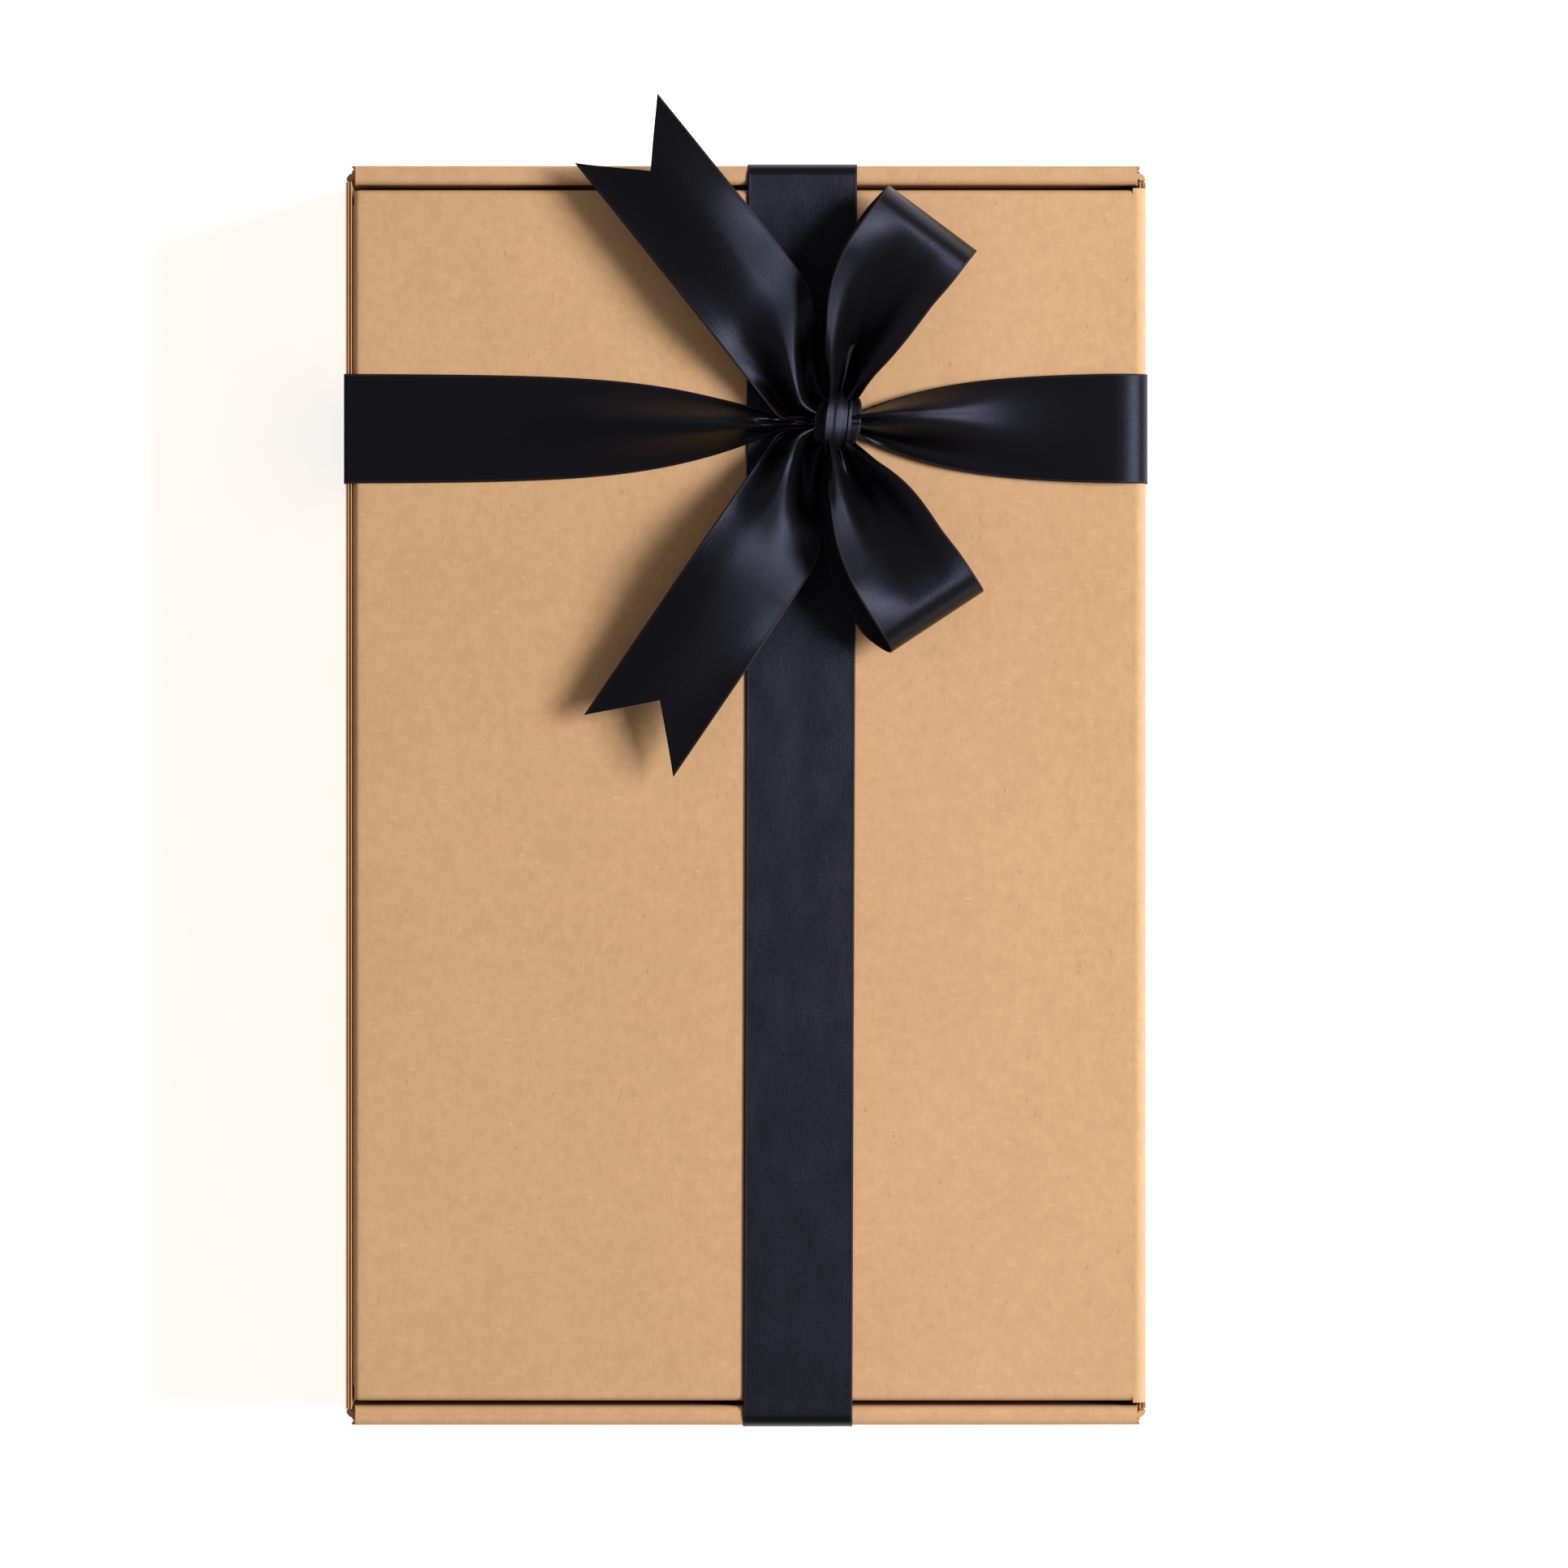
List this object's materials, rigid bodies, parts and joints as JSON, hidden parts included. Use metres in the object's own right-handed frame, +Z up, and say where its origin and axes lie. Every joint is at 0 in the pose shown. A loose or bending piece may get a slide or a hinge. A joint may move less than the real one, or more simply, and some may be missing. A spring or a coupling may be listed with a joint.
{
  "type": "gift box",
  "caption": "Kraft-board gift box with a hinged tuck-in lid, tied both ways with a flat satin ribbon and an off-centre swallow-tailed bow.",
  "frame": {"origin": "middle of the footprint, on the surface that the box stands on", "axes": "+Z up, +X from the front wall to the rear hinge, +Y along the box towards the end that the bow is nearer"},
  "size_m": [0.1838, 0.3044, 0.077],
  "materials": {
    "kraft_board": "matt uncoated kraft liner",
    "satin_ribbon": "satin"
  },
  "bodies": {
    "case": {"bottom_panel": "kraft_board", "front_wall": "kraft_board", "rear_wall": "kraft_board", "end_wall_outer_north": "kraft_board", "end_wall_outer_south": "kraft_board", "roll_edge_north": "kraft_board", "roll_edge_south": "kraft_board", "end_wall_inner_north": "kraft_board", "end_wall_inner_south": "kraft_board", "corner_flap_front_north": "kraft_board", "corner_flap_front_south": "kraft_board", "corner_flap_rear_north": "kraft_board", "corner_flap_rear_south": "kraft_board", "ribbon_end_run_north": "satin_ribbon", "ribbon_end_run_south": "satin_ribbon", "ribbon_long_bottom": "satin_ribbon", "ribbon_cross_front_side": "satin_ribbon", "ribbon_cross_rear_side": "satin_ribbon", "ribbon_cross_bottom": "satin_ribbon"},
    "lid": {"lid_panel": "kraft_board", "ribbon_long_top": "satin_ribbon", "ribbon_cross_front_arm": "satin_ribbon", "ribbon_cross_rear_arm": "satin_ribbon", "ribbon_knot": "satin_ribbon", "bow_loop_north": "satin_ribbon", "bow_loop_south": "satin_ribbon", "bow_tail_north": "satin_ribbon", "bow_tail_south": "satin_ribbon"},
    "tuck": {"tuck_flap": "kraft_board"},
    "dust_north": {"dust_flap_north": "kraft_board"},
    "dust_south": {"dust_flap_south": "kraft_board"}
  },
  "joints": [
    {"name": "lid_hinge", "type": "hinge", "parent": "case", "child": "lid", "pos_m": [0.0901, -0.0077, 0.0595], "axis": [0, 1, 0], "range_deg": [0, 120]},
    {"name": "tuck_fold", "type": "hinge", "parent": "lid", "child": "tuck", "pos_m": [-0.0882, -0.0077, 0.0595], "axis": [0, -1, 0], "range_deg": [0, 80]},
    {"name": "dust_fold_north", "type": "hinge", "parent": "lid", "child": "dust_north", "pos_m": [0, 0.1293, 0.0595], "axis": [-1, 0, 0], "range_deg": [0, 80]},
    {"name": "dust_fold_south", "type": "hinge", "parent": "lid", "child": "dust_south", "pos_m": [0, -0.1447, 0.0595], "axis": [1, 0, 0], "range_deg": [0, 80]}
  ]
}
